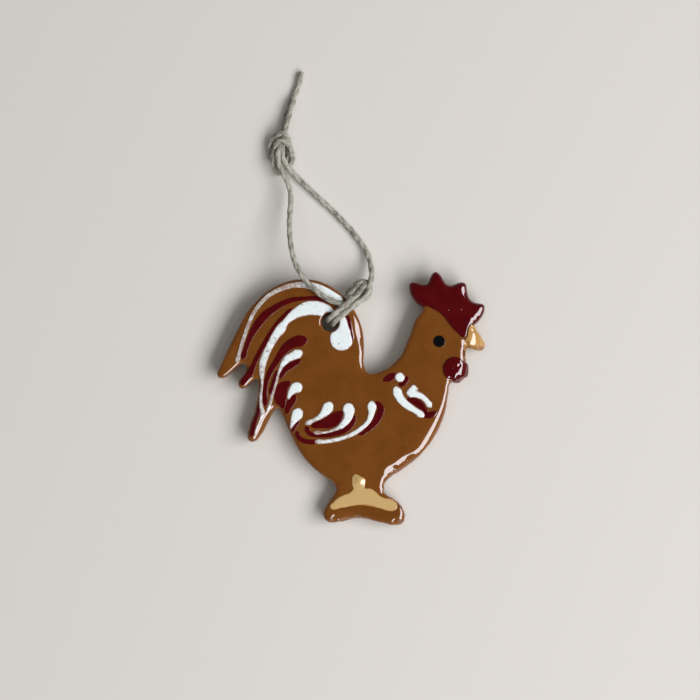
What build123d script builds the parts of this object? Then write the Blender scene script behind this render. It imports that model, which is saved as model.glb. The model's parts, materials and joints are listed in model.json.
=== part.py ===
"""Flat earthenware rooster with trailed slip ornament, lying face up on its hanging twine."""

import os
from cmath import phase, rect
from math import asin, cos, pi, radians, sin, sqrt, tan

from build123d import *

# Clay slab, in millimetres
plaque_thickness = 5.0
face_edge_radius = 0.6
back_edge_radius = 0.5
hole_diameter = 4.3
hole_edge_radius = 0.4
hole_x = -5.1
hole_y = 19.1

# Slip decoration, trailed and painted on the face before firing
slip_thickness = 0.3
eye_diameter = 2.9
eye_x = 22.2
eye_y = 14.2
wattle_diameter = 6.4
wattle_x = 26.1
wattle_y = 7.3

# Twine hanger, hitched through the hole and round the rim
twine_diameter = 1.4
twine_clearance = 0.15
hitch_bearing = 43.0
hitch_swing = 12.0
hitch_core_radius = 1.15
hitch_core_length = 2.1
hitch_ring_spacing = 1.7
hitch_ring_radius = 1.5
hitch_turn = 18.0
left_strand_reach = 4.3
rim_steps = 500
top_knot_core_radius = 1.3
top_knot_core_length = 6.4
top_knot_ring_spacing = 3.2
top_knot_ring_radius = 1.7
top_knot_turn = 22.0
top_knot_collar = 2.6
top_knot_x = -16.9
top_knot_y = 61.0
top_knot_bearing = 86.0
bend_share = 0.45

# Routes of the free twine: over the face from the hitch, then down to the table
left_strand_over_face = [(-6.9, 25.8), (-10.6, 28.8)]
left_strand_points = [
    (-13.3, 32.7, 8.1), (-14.7, 38.2, 7.0), (-15.0, 44.6, 5.4), (-14.6, 51.0, 4.0), (-16.4, 57.2, 3.3),
]
right_strand_points = [
    (5.2, 33.0, 2.6), (4.1, 37.4, 1.1), (0.6, 42.3, 0.75), (-5.0, 48.1, 0.8), (-10.7, 53.3, 0.8), (-15.8, 57.4, 1.2),
]
long_end_points = [
    (-16.6, 64.6, 2.3), (-16.5, 68.0, 1.3), (-15.6, 72.4, 0.85), (-14.3, 76.3, 0.85), (-12.5, 80.0, 0.9),
    (-12.0, 83.4, 1.0),
]
short_end_points = [(-15.9, 64.9, 3.6), (-15.65, 68.6, 2.8), (-14.9, 72.4, 2.3), (-13.75, 75.8, 2.3)]

# Outline of the slab, clockwise from the top of the tail
outline_points = [
    (-13.6, 29.8), (-10.0, 29.8), (-5.0, 28.1), (-1.2, 24.9), (1.0, 21.9), (2.6, 18.0), (3.2, 12.0),
    (3.1, 8.8), (3.8, 6.9), (5.5, 6.3), (8.0, 6.9), (12.4, 10.3), (14.9, 15.5), (16.9, 20.5),
    (18.1, 22.0), (18.2, 23.1), (16.7, 24.3), (15.8, 25.7), (15.35, 27.1), (15.5, 28.0), (16.2, 28.5),
    (17.4, 28.3), (18.9, 28.1), (19.9, 28.8), (20.5, 30.1), (21.3, 30.8), (22.2, 30.3), (23.0, 29.0),
    (24.2, 27.9), (25.5, 27.7), (26.6, 28.15), (27.5, 28.35), (28.3, 27.8), (28.7, 26.4), (29.2, 24.8),
    (30.4, 23.6), (31.5, 23.2), (32.4, 22.9), (32.9, 22.2), (32.6, 21.0), (31.6, 19.6), (30.7, 18.4),
    (30.9, 17.3), (31.8, 15.9), (32.6, 14.5), (33.1, 13.4), (32.8, 12.6), (31.9, 12.35), (30.4, 12.75),
    (29.1, 12.85), (28.5, 12.0), (28.4, 10.8), (28.7, 9.3), (28.9, 7.4), (28.7, 5.8), (28.0, 4.8),
    (26.8, 4.4), (25.4, 4.3), (24.6, 3.6), (24.3, 2.0), (23.4, -3.2), (20.3, -10.0), (16.5, -14.5),
    (12.3, -17.7), (9.4, -19.7), (8.3, -21.0), (8.15, -22.4), (8.5, -23.7), (9.6, -24.5), (10.9, -25.2),
    (12.3, -26.5), (13.2, -28.3), (13.25, -29.9), (12.6, -31.0), (11.2, -31.3), (8.0, -30.7), (2.0, -29.5),
    (-3.0, -30.5), (-4.8, -30.7), (-6.2, -30.1), (-6.75, -28.8), (-6.4, -27.3), (-5.3, -25.5), (-4.1, -23.9),
    (-3.6, -22.4), (-4.1, -21.0), (-5.6, -19.8), (-8.5, -17.7), (-11.2, -15.0), (-15.0, -8.4), (-17.0, -3.6),
    (-17.6, -2.5), (-18.5, -2.1), (-19.3, -2.7), (-20.3, -4.3), (-22.7, -8.8), (-23.8, -10.2), (-24.6, -10.5),
    (-25.4, -10.1), (-25.75, -9.0), (-25.4, -7.0), (-23.9, -2.5), (-23.0, 2.0), (-22.8, 4.1), (-23.3, 5.2),
    (-24.4, 4.9), (-25.5, 3.9), (-26.5, 3.0), (-27.3, 2.85), (-27.95, 3.4), (-27.9, 4.3), (-27.2, 5.3),
    (-26.3, 6.4), (-25.9, 7.5), (-26.1, 8.7), (-26.9, 9.1), (-27.9, 8.7), (-29.4, 7.5), (-31.0, 6.1),
    (-32.1, 5.45), (-33.0, 5.65), (-33.25, 6.5), (-32.6, 8.1), (-29.0, 16.0), (-24.6, 23.4), (-19.2, 28.0),
]

# Lower borders of the painted head parts, and the outline of the painted foot
comb_border = [
    (17.4, 22.4), (18.8, 22.8), (21.0, 21.9), (22.6, 20.9), (23.8, 19.5), (25.2, 17.6), (26.8, 16.0),
    (28.1, 14.9), (29.0, 15.1), (29.4, 16.5), (29.9, 17.7), (30.6, 18.3), (31.6, 18.5),
]
beak_border = [(31.6, 18.5), (30.6, 18.3), (29.9, 17.7), (29.4, 16.5), (29.0, 15.1), (28.7, 13.8), (28.6, 12.2)]
foot_outline = [
    (0.4, -20.4), (0.6, -19.3), (1.3, -18.8), (2.5, -19.3), (3.6, -19.9), (3.7, -20.9), (3.5, -21.9),
    (4.9, -22.3), (6.2, -23.1), (7.3, -24.0), (8.6, -24.7), (9.9, -25.1), (10.9, -25.9), (11.4, -26.8),
    (10.9, -27.6), (9.9, -27.7), (7.2, -27.1), (4.8, -26.6), (2.5, -26.3), (0.3, -26.6), (-2.2, -27.0),
    (-4.2, -27.2), (-4.8, -26.8), (-4.2, -25.7), (-3.2, -24.7), (-1.6, -23.9), (0.0, -23.2), (0.7, -22.4),
    (0.5, -21.4),
]

# Corners outside the slab that close the painted regions of the comb and the beak
comb_outside = [(36, 20), (36, 34), (12, 34), (12, 22.4)]
beak_outside = [(28.6, 10.4), (36, 10.4), (36, 20)]

# Slip trails along the centre of each stroke: x, y and the width there
white_trails = {
    "tail_rim_white_trail": [
        (-2.2, 24.9, 1.0), (-3.8, 25.6, 1.8), (-5.8, 26.7, 2.0), (-8.2, 27.8, 2.0), (-11.0, 28.5, 1.7),
        (-14.0, 28.5, 1.4), (-17.0, 27.7, 1.2), (-20.0, 26.2, 1.1), (-22.3, 24.1, 1.0), (-24.2, 21.4, 0.9),
        (-25.6, 18.2, 0.9), (-26.8, 14.8, 0.9), (-27.7, 11.6, 0.8), (-28.3, 9.4, 0.7),
    ],
    "tail_broad_white_trail": [
        (-4.6, 21.9, 1.5), (-6.4, 22.3, 3.1), (-8.6, 22.7, 3.5), (-10.8, 22.6, 3.4), (-12.8, 21.8, 2.8),
        (-14.6, 20.7, 2.0), (-16.1, 19.3, 1.5), (-17.3, 17.6, 2.3), (-18.6, 15.9, 1.9), (-19.9, 13.7, 1.7),
        (-21.0, 11.4, 1.6), (-21.8, 9.2, 1.6), (-22.1, 7.0, 1.3), (-22.1, 4.6, 0.7), (-22.3, 2.4, 0.7),
        (-22.5, 0.2, 0.8), (-22.2, -2.0, 0.9), (-21.8, -3.6, 1.0), (-22.3, -5.2, 0.7), (-23.1, -7.0, 0.5),
        (-23.6, -8.6, 0.4),
    ],
    "feather_white_comma": [
        (-12.9, 11.4, 2.1), (-14.4, 10.7, 2.0), (-15.9, 9.8, 1.7), (-17.0, 8.4, 1.0), (-17.8, 6.6, 0.6),
        (-18.4, 4.6, 0.5), (-19.0, 2.6, 0.5), (-19.6, 0.6, 0.6), (-20.0, -1.2, 0.6), (-20.4, -2.8, 0.5),
    ],
    "tail_base_white_drop": [(-13.3, 2.9, 2.7), (-14.5, 2.0, 1.8), (-15.2, 0.9, 0.9), (-15.4, 0.1, 0.4)],
    "wing_white_comma_rear": [
        (-13.1, -3.6, 2.7), (-13.9, -5.0, 1.8), (-14.6, -6.3, 1.0), (-15.0, -7.3, 0.6),
    ],
    "wing_white_comma_upper": [
        (-5.4, -1.9, 2.5), (-6.3, -3.2, 2.1), (-7.5, -4.4, 1.3), (-9.2, -5.3, 0.9), (-10.9, -6.1, 0.8),
    ],
    "wing_white_comma_middle": [
        (-0.4, -2.5, 2.9), (-0.4, -4.0, 2.2), (-1.1, -5.6, 1.7), (-2.4, -6.9, 1.1), (-4.2, -7.8, 0.6),
        (-6.4, -8.4, 0.5), (-9.0, -8.4, 0.4),
    ],
    "wing_white_comma_front": [
        (5.4, -1.6, 2.1), (5.3, -3.4, 1.5), (4.7, -5.3, 1.1), (3.2, -7.0, 1.0), (1.2, -8.4, 1.0),
        (-1.4, -9.6, 0.9), (-4.2, -10.3, 0.9), (-6.6, -10.6, 0.9), (-8.4, -10.6, 0.8),
    ],
    "saddle_white_teardrop": [(-1.5, 20.2, 0.9), (-1.9, 18.5, 2.9), (-2.1, 16.8, 4.5), (-2.15, 14.9, 5.7)],
    "breast_white_trail_rear": [
        (11.6, 2.1, 2.0), (12.2, 0.6, 2.1), (13.3, -0.9, 1.9), (14.8, -2.1, 1.7), (16.4, -3.1, 1.4),
        (17.7, -4.0, 1.6),
    ],
    "breast_white_trail_front": [
        (15.7, 2.3, 1.7), (15.5, 1.5, 2.1), (16.8, 1.0, 1.6), (18.1, 0.3, 1.3), (19.1, -0.7, 1.3), (19.8, -1.7, 1.3),
    ],
}
rim_trail = "tail_rim_white_trail"
breast_dot_diameter = 2.3
breast_dot_x = 12.4
breast_dot_y = 5.3
red_trails = {
    "tail_outer_red_trail": [
        (-5.3, 24.4, 0.8), (-7.2, 25.0, 1.0), (-9.4, 25.2, 0.8), (-12.0, 25.1, 0.8), (-14.4, 24.8, 1.1),
        (-16.8, 23.9, 1.2), (-19.2, 22.5, 1.5), (-21.2, 21.0, 1.9), (-22.8, 19.2, 1.8), (-24.2, 17.0, 1.4),
        (-25.3, 14.8, 1.1), (-26.1, 12.6, 0.9), (-26.8, 10.4, 0.8),
    ],
    "tail_middle_red_trail": [
        (-14.6, 22.2, 0.8), (-16.3, 20.7, 1.1), (-18.0, 18.9, 1.2), (-19.5, 16.8, 1.2), (-20.9, 14.6, 1.1),
        (-22.2, 12.5, 1.0), (-23.3, 10.4, 1.0), (-24.2, 8.4, 1.1), (-25.1, 6.6, 1.6), (-26.2, 5.0, 1.6),
        (-27.0, 4.0, 0.9),
    ],
    "sickle_red_trail": [
        (-12.0, 14.6, 2.5), (-14.0, 14.1, 2.5), (-15.9, 12.9, 2.1), (-17.4, 11.0, 1.6), (-18.7, 9.0, 1.3),
        (-19.8, 7.2, 1.2), (-20.7, 5.2, 1.0), (-21.2, 3.0, 0.9), (-21.3, 0.8, 1.0), (-21.2, -1.2, 0.9),
    ],
    "feather_red_trail": [
        (-12.8, 9.6, 1.0), (-14.2, 8.9, 1.6), (-15.6, 8.1, 1.7), (-16.7, 7.0, 1.5), (-17.5, 5.6, 0.9),
    ],
    "feather_edge_red_trail": [
        (-17.9, 7.0, 0.7), (-18.7, 5.4, 0.9), (-19.3, 3.4, 0.9), (-19.9, 1.6, 0.7),
    ],
    "tail_base_red_patch": [
        (-15.4, 4.0, 1.0), (-16.7, 3.0, 2.5), (-17.3, 1.5, 3.0), (-17.4, 0.0, 2.7), (-17.0, -1.6, 1.6),
    ],
    "rear_red_blob": [(-14.2, 0.4, 1.5), (-14.8, -0.8, 1.8), (-15.5, -2.1, 1.4), (-15.9, -3.4, 0.8)],
    "comma_edge_red_trail": [(-13.0, -5.4, 0.6), (-13.9, -6.6, 1.0), (-14.5, -7.9, 0.6)],
    "wing_leaf_red_trail": [
        (-2.4, -3.6, 1.4), (-3.6, -4.9, 2.9), (-5.4, -5.8, 2.9), (-7.4, -6.3, 1.8), (-9.3, -6.7, 0.8),
    ],
    "wing_middle_red_trail": [
        (1.0, -4.6, 0.8), (0.4, -6.0, 1.4), (-1.2, -7.5, 1.5), (-3.4, -8.5, 1.2), (-6.0, -9.0, 1.0),
        (-8.4, -9.0, 0.9), (-10.2, -8.5, 0.9), (-10.8, -7.3, 1.0),
    ],
    "wing_front_red_trail": [
        (6.7, -1.2, 1.2), (7.6, -2.4, 1.5), (7.1, -4.3, 1.6), (5.9, -6.1, 1.5), (4.3, -7.5, 1.3), (2.4, -8.6, 0.9),
    ],
    "wing_lower_red_trail": [
        (-13.2, -8.5, 0.9), (-12.9, -9.5, 1.0), (-11.8, -10.3, 1.0), (-10.2, -10.7, 1.0), (-8.9, -10.7, 0.8),
    ],
    "saddle_edge_red_trail": [(-1.0, 20.6, 0.7), (0.0, 18.8, 0.9), (0.6, 17.0, 0.9), (0.9, 15.0, 0.8)],
    "feather_tip_red_trail": [
        (-22.9, -1.4, 0.6), (-23.2, -3.2, 1.2), (-23.9, -5.2, 1.3), (-24.4, -7.2, 1.3), (-24.7, -8.9, 0.9),
    ],
}
breast_red_dabs = [
    [(8.7, 4.7, 0.9), (9.8, 5.2, 1.6), (10.9, 5.8, 1.2)],
    [(12.7, 3.5, 1.1), (13.5, 4.2, 1.4), (14.1, 5.0, 1.0)],
    [(14.4, -0.4, 0.8), (15.9, -0.6, 1.4), (17.2, -1.4, 1.6), (18.2, -2.6, 1.3), (18.9, -3.6, 0.9)],
    [(18.9, -4.2, 1.3), (20.2, -4.0, 1.3), (21.4, -3.6, 0.8)],
]

# Values worked out from the sizes above
hole_radius = hole_diameter / 2
twine_radius = twine_diameter / 2
face_line = plaque_thickness + slip_thickness
slip_start = face_edge_radius + back_edge_radius
leg_offset = twine_radius + twine_clearance / 2
hole_slack = hole_radius - twine_radius - twine_clearance
leg_in_hole = sqrt(hole_slack**2 - leg_offset**2)
front_level = face_line + twine_radius + twine_clearance
back_level = -twine_radius - twine_clearance
foot_line = min(y for x, y in outline_points) + back_edge_radius
lift = 2 * twine_radius + twine_clearance
tilt = asin(lift / (hole_y - foot_line))

# The slab leans on the twine behind its tail and on the edge of its foot
back = Plane(
    origin=(0, 0, back_edge_radius * (1 - cos(tilt)) - foot_line * sin(tilt)),
    x_dir=(1, 0, 0),
    z_dir=(0, -sin(tilt), cos(tilt)),
)
outward = rect(1, radians(hitch_bearing))
hitch = Plane(
    origin=back.from_local_coords((hole_x, hole_y, 0)),
    x_dir=back.x_dir * outward.real + back.y_dir * outward.imag,
    z_dir=back.z_dir,
)


def arc_middle(start, heading, end):
    """Middle of the arc that leaves start along heading and ends at end."""
    chord = end - start
    lean = phase(chord / heading)
    return (start + end) / 2 - 0.5j * chord * tan(lean / 2)


def smooth_line(points, closed=True):
    """Tangent arcs through the points, two from each point to the next."""
    spots = [complex(x, y) for x, y in points]
    before = [spots[-1] if closed else 2 * spots[0] - spots[1]] + spots[:-1]
    after = spots[1:] + [spots[0] if closed else 2 * spots[-1] - spots[-2]]
    headings = []
    for behind, here, ahead in zip(before, spots, after):
        arrive = here - behind
        leave = ahead - here
        heading = arrive / abs(arrive) * abs(leave) + leave / abs(leave) * abs(arrive)
        headings.append(heading / abs(heading))
    last = len(spots) if closed else len(spots) - 1
    arcs = []
    for number in range(last):
        start = spots[number]
        end = after[number]
        leaving = headings[number]
        arriving = headings[(number + 1) % len(spots)]
        chord = end - start
        along = (chord * (leaving + arriving).conjugate()).real
        apart = 1 - (leaving * arriving.conjugate()).real
        reach = abs(chord) ** 2 / (along + sqrt(along**2 + 2 * apart * abs(chord) ** 2))
        join = (start + end + reach * (leaving - arriving)) / 2
        first = arc_middle(start, leaving, join)
        second = arc_middle(end, -arriving, join)
        for head, middle, tail in ((start, first, join), (join, second, end)):
            ends = [(spot.real, spot.imag) for spot in (head, middle, tail)]
            arcs.append(ThreePointArc(*ends, mode=Mode.PRIVATE))
    add(arcs)


def trail_edge(stroke):
    """Points round a slip trail: up its left side, round its end and back down the right side."""
    spots = [complex(x, y) for x, y, width in stroke]
    halves = [width / 2 for x, y, width in stroke]
    left = []
    right = []
    for number, (spot, half) in enumerate(zip(spots, halves)):
        way = spots[min(number + 1, len(spots) - 1)] - spots[max(number - 1, 0)]
        side = 1j * way / abs(way) * half
        left.append(spot + side)
        right.append(spot - side)
    start_way = spots[0] - spots[1]
    end_way = spots[-1] - spots[-2]
    start_tip = spots[0] + start_way / abs(start_way) * halves[0]
    end_tip = spots[-1] + end_way / abs(end_way) * halves[-1]
    ring = [start_tip] + left + [end_tip] + right[::-1]
    return [(spot.real, spot.imag) for spot in ring]


def save(piece, name):
    """Label a finished piece and write it out under its name."""
    piece.label = name
    export_step(piece, f"parts/{name}.step")


os.makedirs("parts", exist_ok=True)

# Clay slab: cut from a rolled sheet, rims softened, hole pierced before firing
with BuildPart() as clay_plaque:
    with BuildSketch(back):
        with BuildLine() as slab_edge:
            smooth_line(outline_points)
        make_face()
    extrude(amount=plaque_thickness)
    normal = Axis(back.origin, back.z_dir)
    fillet(clay_plaque.edges().group_by(normal)[-1], radius=face_edge_radius)
    fillet(clay_plaque.edges().group_by(normal)[0], radius=back_edge_radius)
    with BuildSketch(back):
        with Locations((hole_x, hole_y)):
            Circle(hole_radius)
    extrude(amount=plaque_thickness, mode=Mode.SUBTRACT)
    rims = clay_plaque.edges().filter_by(GeomType.CIRCLE)
    rims = rims.filter_by(lambda edge: abs(edge.radius - hole_radius) < 1e-6 and edge.is_closed)
    fillet(rims, radius=hole_edge_radius)
save(clay_plaque.part, "clay_plaque")

# Coat of slip all over the face and rim, from which the patches that wrap over the rim are taken
with BuildPart() as slip_coat:
    with BuildSketch(back):
        with BuildLine():
            smooth_line(outline_points)
        make_face()
        offset(amount=slip_thickness)
    extrude(amount=face_line)
    fillet(slip_coat.edges().group_by(normal)[-1], radius=face_edge_radius + slip_thickness)
    add(clay_plaque.part, mode=Mode.SUBTRACT)


def wrap_slip(region, name):
    """Write the part of the slip coat that lies over a region of the face and its rim."""
    with BuildPart() as slip:
        add(slip_coat.part)
        with BuildSketch(back.offset(slip_start)):
            add(region)
        extrude(amount=face_line, mode=Mode.INTERSECT)
    save(slip.part, name)


def lay_slip(region, name):
    """Write a layer of slip over a region of the flat face, clear of the hole's rim."""
    with BuildPart() as slip:
        with BuildSketch(back.offset(plaque_thickness)):
            add(region)
            with Locations((hole_x, hole_y)):
                Circle(hole_radius + hole_edge_radius, mode=Mode.SUBTRACT)
        extrude(amount=slip_thickness)
    save(slip.part, name)


def trail_region(stroke):
    """Flat outline of one slip trail."""
    with BuildSketch() as region:
        with BuildLine():
            smooth_line(trail_edge(stroke))
        make_face()
    return region.sketch


def dot_region(x, y, diameter):
    """Flat outline of one round dab."""
    with BuildSketch() as region:
        with Locations((x, y)):
            Circle(diameter / 2)
    return region.sketch


# White trails, of which the one along the tail runs over the rounded rim
white_regions = {name: trail_region(stroke) for name, stroke in white_trails.items()}
white_regions["breast_white_dot"] = dot_region(breast_dot_x, breast_dot_y, breast_dot_diameter)
for name, region in white_regions.items():
    if name == rim_trail:
        wrap_slip(region, name)
    else:
        lay_slip(region, name)

# Red trails, which stop at the white ones
red_strokes = {name: [stroke] for name, stroke in red_trails.items()}
red_strokes["breast_red_dabs"] = breast_red_dabs
for name, strokes in red_strokes.items():
    with BuildSketch() as red:
        for stroke in strokes:
            add(trail_region(stroke))
        for region in white_regions.values():
            add(region, mode=Mode.SUBTRACT)
    lay_slip(red.sketch, name)

# Painted head: wattle, comb and beak wrap over the rim, the eye is a dab
wrap_slip(dot_region(wattle_x, wattle_y, wattle_diameter), "wattle_slip")
with BuildSketch() as comb:
    with BuildLine():
        smooth_line(comb_border, closed=False)
        Polyline(comb_border[-1], *comb_outside, comb_border[0])
    make_face()
wrap_slip(comb.sketch, "comb_slip")
with BuildSketch() as beak:
    with BuildLine():
        smooth_line(beak_border, closed=False)
        Polyline(beak_border[-1], *beak_outside, beak_border[0])
    make_face()
    add(comb.sketch, mode=Mode.SUBTRACT)
wrap_slip(beak.sketch, "beak_slip")
lay_slip(dot_region(eye_x, eye_y, eye_diameter), "eye_dot")

# Painted foot
with BuildSketch() as foot:
    with BuildLine():
        smooth_line(foot_outline)
    make_face()
lay_slip(foot.sketch, "foot_slip")


def bend_radii(route):
    """Largest bend at each inner point of a route that the runs beside it leave room for."""
    radii = []
    for before, here, after in zip(route, route[1:], route[2:]):
        arrive = Vector(here) - Vector(before)
        leave = Vector(after) - Vector(here)
        turn = radians(arrive.get_angle(leave))
        radii.append(bend_share * min(arrive.length, leave.length) / tan(turn / 2))
    return radii


def lay_twine(route, radii):
    """Add a tube of twine along straight runs joined by tangent arcs, and return its length."""
    with BuildLine() as path:
        FilletPolyline(*route, radius=radii)
    with BuildSketch(Plane(origin=path.line @ 0, z_dir=path.line % 0)) as section:
        Circle(twine_radius)
    sweep(section.sketch, path=path.line)
    return path.wire().length


def twine_core(plane, radius, length):
    """Add the round-ended heart of a knot, centred on a plane and lying along its X direction."""
    with Locations(Plane(plane.origin, z_dir=plane.x_dir).location):
        Cylinder(radius, length)
    for end in (-length / 2, length / 2):
        with Locations(plane.from_local_coords((end, 0, 0))):
            Sphere(radius)


def twine_ring(plane, along, turn, radius):
    """Add one turn of twine round the heart of a knot."""
    lean = plane.x_dir * cos(radians(turn)) + plane.y_dir * sin(radians(turn))
    with Locations(Plane(plane.from_local_coords((along, 0, 0)), z_dir=lean).location):
        Torus(radius, twine_radius)


# The folded twine goes round the rim outside the furthest point that it meets as it swings
leg_half_width = leg_offset + twine_radius + twine_clearance
rim = slab_edge.wire()
rim_spots = [rim @ (step / rim_steps) for step in range(rim_steps)]
rim_reach = 0
for swing in (-hitch_swing, 0, hitch_swing):
    along_legs = rect(1, radians(hitch_bearing + swing))
    for spot in rim_spots:
        turned = complex(spot.X - hole_x, spot.Y - hole_y) / along_legs
        if abs(turned.imag) < leg_half_width:
            rim_reach = max(rim_reach, turned.real)
leg_outside = rim_reach + twine_clearance + twine_radius
knot_level = (front_level + back_level) / 2

# Folded twine: two turns side by side, down through the hole, behind the slab and round its rim
leg_route = [
    (leg_outside, front_level),
    (leg_in_hole, front_level),
    (leg_in_hole, back_level),
    (leg_outside, back_level),
]
leg_bend = hole_edge_radius + twine_radius + twine_clearance
with BuildPart() as rim_bight:
    for side in (-leg_offset, leg_offset):
        leg = Plane(hitch.from_local_coords((0, side, 0)), x_dir=hitch.x_dir, z_dir=-hitch.y_dir)
        with BuildLine(leg) as turn:
            FilletPolyline(*leg_route, radius=leg_bend, close=True)
        with BuildSketch(Plane(origin=turn.line @ 0, z_dir=turn.line % 0)) as section:
            Circle(twine_radius)
        sweep(section.sketch, path=turn.line)
save(rim_bight.part, "rim_bight")

# Hitch: the ends drawn tight through two more turns, just outside the folded twine
knot_start = leg_outside + twine_radius + twine_clearance
knot = Plane(
    origin=hitch.from_local_coords((knot_start + hitch_core_radius + hitch_core_length / 2, 0, knot_level)),
    x_dir=hitch.x_dir,
    z_dir=hitch.z_dir,
)
with BuildPart() as hitch_knot:
    twine_core(knot, hitch_core_radius, hitch_core_length)
    twine_ring(knot, -hitch_ring_spacing / 2, hitch_turn, hitch_ring_radius)
    twine_ring(knot, hitch_ring_spacing / 2, -hitch_turn, hitch_ring_radius)
save(hitch_knot.part, "hitch_knot")

# Top knot: an overhand knot lying on the table, its collar drawn out to the right
top = Plane(
    origin=(top_knot_x, top_knot_y, top_knot_ring_radius + twine_radius),
    x_dir=(cos(radians(top_knot_bearing)), sin(radians(top_knot_bearing)), 0),
    z_dir=(0, 0, 1),
)
with BuildPart() as top_knot:
    twine_core(top, top_knot_core_radius, top_knot_core_length)
    twine_ring(top, -top_knot_ring_spacing / 2, top_knot_turn, top_knot_ring_radius)
    twine_ring(top, top_knot_ring_spacing / 2, -top_knot_turn, top_knot_ring_radius)
    with BuildLine(top) as collar:
        ThreePointArc((top_knot_core_length / 2, 0), (0, -top_knot_collar), (-top_knot_core_length / 2, 0))
    with BuildSketch(Plane(origin=collar.line @ 0, z_dir=collar.line % 0)):
        Circle(twine_radius)
    sweep(path=collar.line)
save(top_knot.part, "top_knot")

# Free twine: each strand starts at a round end beside the hitch, and the two cut ends lie above the top knot
left_end = hitch.from_local_coords(
    (left_strand_reach, leg_offset + twine_diameter + twine_clearance, front_level + twine_clearance)
)
right_end = knot.from_local_coords(
    (hitch_core_length / 2 + hitch_core_radius + twine_radius + twine_clearance, 0, 0)
)
strand_level = front_level + twine_clearance
left_over_face = [back.from_local_coords((x, y, strand_level)) for x, y in left_strand_over_face]
free_twine = {
    "left_strand": [left_end] + left_over_face + left_strand_points,
    "right_strand": [right_end] + right_strand_points,
    "tag_end": long_end_points,
    "short_end": short_end_points,
}
for name, route in free_twine.items():
    radii = bend_radii(route)
    with BuildPart() as strand:
        length = lay_twine(route, radii)
        tube_volume = strand.part.volume
        if name.endswith("strand"):
            with Locations(route[0]):
                Sphere(twine_radius)
        add(top_knot.part, mode=Mode.SUBTRACT)
    save(strand.part, name)
    print(name, "length", round(length, 1), "least radius", round(min(radii), 1),
          "volume share", round(tube_volume / (length * pi * twine_radius**2), 3))
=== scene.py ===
"""Looks of a flat slipware rooster ornament, lying face up on its hanging loop of twine."""

import json
import math
import random

import bmesh
import bpy
import numpy as np
from mathutils import Matrix, Vector, noise
from mathutils.bvhtree import BVHTree


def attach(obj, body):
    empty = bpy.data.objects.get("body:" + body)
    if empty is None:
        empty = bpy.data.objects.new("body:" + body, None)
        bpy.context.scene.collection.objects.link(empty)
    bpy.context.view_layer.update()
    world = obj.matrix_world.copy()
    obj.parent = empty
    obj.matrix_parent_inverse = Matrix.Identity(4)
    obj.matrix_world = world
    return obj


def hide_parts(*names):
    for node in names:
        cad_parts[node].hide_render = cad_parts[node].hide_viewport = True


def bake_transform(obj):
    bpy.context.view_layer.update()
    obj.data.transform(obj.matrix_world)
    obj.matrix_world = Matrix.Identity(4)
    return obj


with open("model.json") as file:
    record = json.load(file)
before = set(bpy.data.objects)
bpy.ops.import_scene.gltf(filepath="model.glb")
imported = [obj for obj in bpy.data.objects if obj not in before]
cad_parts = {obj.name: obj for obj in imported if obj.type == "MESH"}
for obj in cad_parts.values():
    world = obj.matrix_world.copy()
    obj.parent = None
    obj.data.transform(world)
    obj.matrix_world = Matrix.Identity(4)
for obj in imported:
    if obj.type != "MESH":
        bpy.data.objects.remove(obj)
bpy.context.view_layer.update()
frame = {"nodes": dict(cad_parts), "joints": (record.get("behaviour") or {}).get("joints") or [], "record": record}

# The view: down on the ornament as it lies on a table, from arm's length and a little from the lower right.
# The picture is square and takes in the cut ends of the twine at its top.
mm = 0.001
view_centre = Vector((0, 12, 6.5)) * mm
view_width = 174.4 * mm
view_distance = 600 * mm
view_bearing = math.radians(-50)
view_elevation = math.radians(84)
sensor_width = 36
nearest_seen = 10 * mm


def direction(bearing, elevation):
    """The way to what stands at a bearing from the X axis and at an elevation above the table."""
    level = math.cos(elevation)
    return Vector((level * math.cos(bearing), level * math.sin(bearing), math.sin(elevation)))


scene = bpy.context.scene
lens = bpy.data.cameras.new("overhead_camera")
lens.sensor_width = sensor_width
lens.lens = sensor_width * view_distance / view_width
lens.clip_start = nearest_seen
camera = bpy.data.objects.new("overhead_camera", lens)
view_from = direction(view_bearing, view_elevation)
view_right = Vector((0, 1, 0)).cross(view_from).normalized()
view_turn = Matrix((view_right, view_from.cross(view_right), view_from)).transposed().to_4x4()
camera.matrix_world = Matrix.Translation(view_centre + view_from * view_distance) @ view_turn
scene.collection.objects.link(camera)
scene.camera = camera
scene.view_settings.view_transform = "Standard"

# The light: a wide soft window on the right and a dim room, with a polarised fill light overhead.
# The window's reflection makes the bright bands along the glazed rims; the fill makes none.
window_bearing = math.radians(-24)
window_elevation = math.radians(46)
window_distance = 1.4
window_size = (1.7, 0.72)
window_radiance = 7.2
window_colour = (0.96, 0.96, 1.0)
fill_height = 1.5
fill_size = 2.0
fill_radiance = 0.65
wall_colour = (0.07, 0.065, 0.06, 1)
ceiling_colour = (0.02, 0.02, 0.02, 1)
ceiling_edge = (0.50, 0.80)
window = bpy.data.lights.new("window", "AREA")
window.shape = "RECTANGLE"
window.size, window.size_y = window_size
window.energy = window_radiance * math.pi * window.size * window.size_y
window.color = window_colour
window_lamp = bpy.data.objects.new("window", window)
window_lamp.location = direction(window_bearing, window_elevation) * window_distance
window_lamp.rotation_euler = (-window_lamp.location).to_track_quat("-Z", "Y").to_euler()
scene.collection.objects.link(window_lamp)
fill = bpy.data.lights.new("fill", "AREA")
fill.size = fill_size
fill.energy = fill_radiance * math.pi * fill_size**2
fill_lamp = bpy.data.objects.new("fill", fill)
fill_lamp.location = (0, 0, fill_height)
fill_lamp.visible_glossy = False
scene.collection.objects.link(fill_lamp)


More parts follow.
